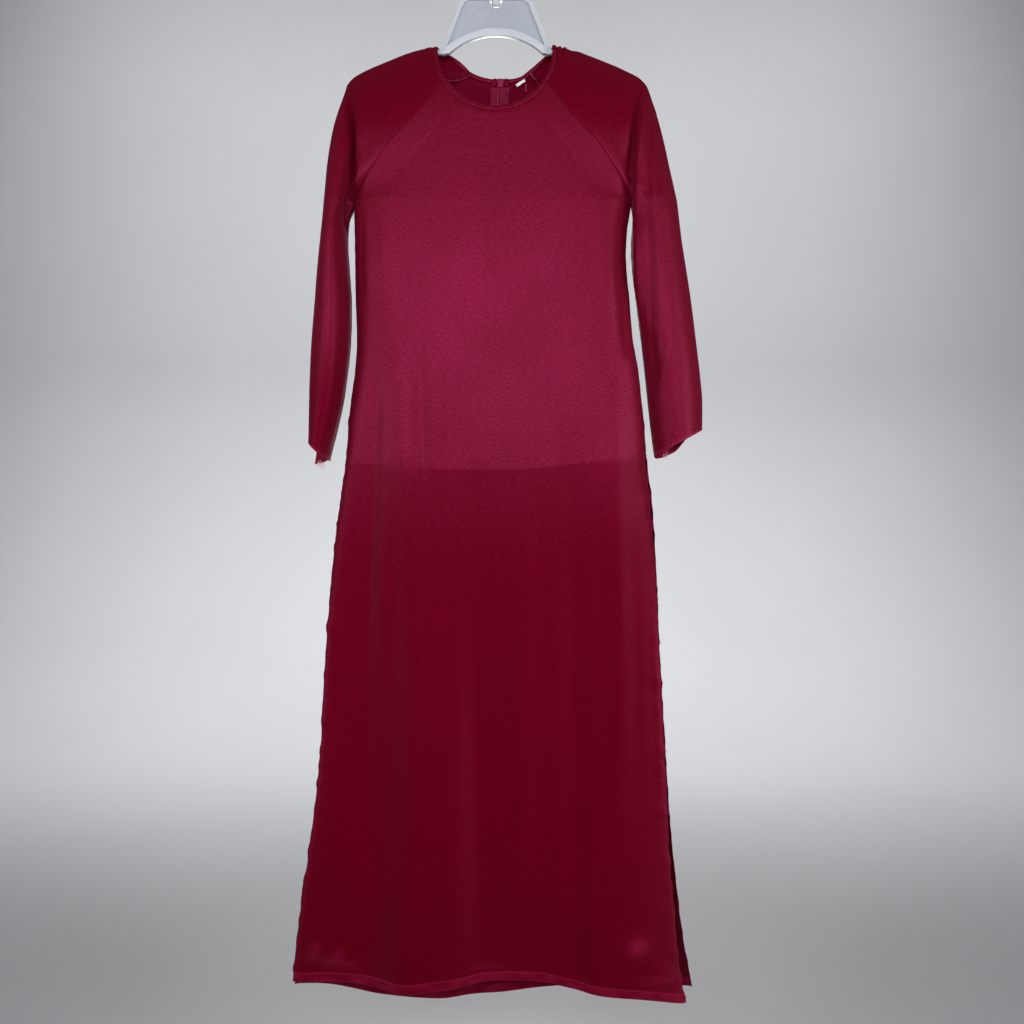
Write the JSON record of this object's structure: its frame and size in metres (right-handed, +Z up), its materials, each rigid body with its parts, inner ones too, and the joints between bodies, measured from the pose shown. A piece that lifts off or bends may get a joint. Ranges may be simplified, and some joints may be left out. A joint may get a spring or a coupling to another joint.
{
  "type": "ao dai on a plastic hanger",
  "caption": "Long straight ao dai with a round neck, raglan sleeves, side slits and a centre back zip, hanging flat on a clear plastic hanger with a hook.",
  "frame": {"origin": "inside top of the hanger's hook, where it rests on a rail", "axes": "+Z up, -Y out of the garment's front, +X to the right of someone who faces the front"},
  "size_m": [0.5636, 0.0965, 1.4651],
  "materials": {
    "crepe": "crimson satin-backed crepe with a soft sheen",
    "lining": "thin plain crimson lining",
    "zip_tape": "woven crimson tape",
    "zip_coil": "crimson nylon coil",
    "zip_metal": "crimson enamel",
    "label": "plain white satin tape",
    "hanger": "frosted clear plastic"
  },
  "bodies": {
    "garment": {"front_panel": "crepe", "back_left": "crepe", "back_right": "crepe", "sleeve_left": "crepe", "sleeve_right": "crepe", "lining_front": "lining", "neck_binding": "crepe", "zip_tape_left": "zip_tape", "zip_tape_right": "zip_tape", "zip_chain": "zip_coil", "zip_slider": "zip_metal", "neck_label": "label", "hanger_body": "hanger", "hanger_hook": "hanger"},
    "pull_tab": {"zip_pull": "zip_metal"}
  },
  "joints": [
    {"name": "pull_swing", "type": "hinge", "parent": "garment", "child": "pull_tab", "pos_m": [0.006, 0.0337, -0.169], "axis": [1, 0, 0], "range_deg": [0, 165]}
  ]
}
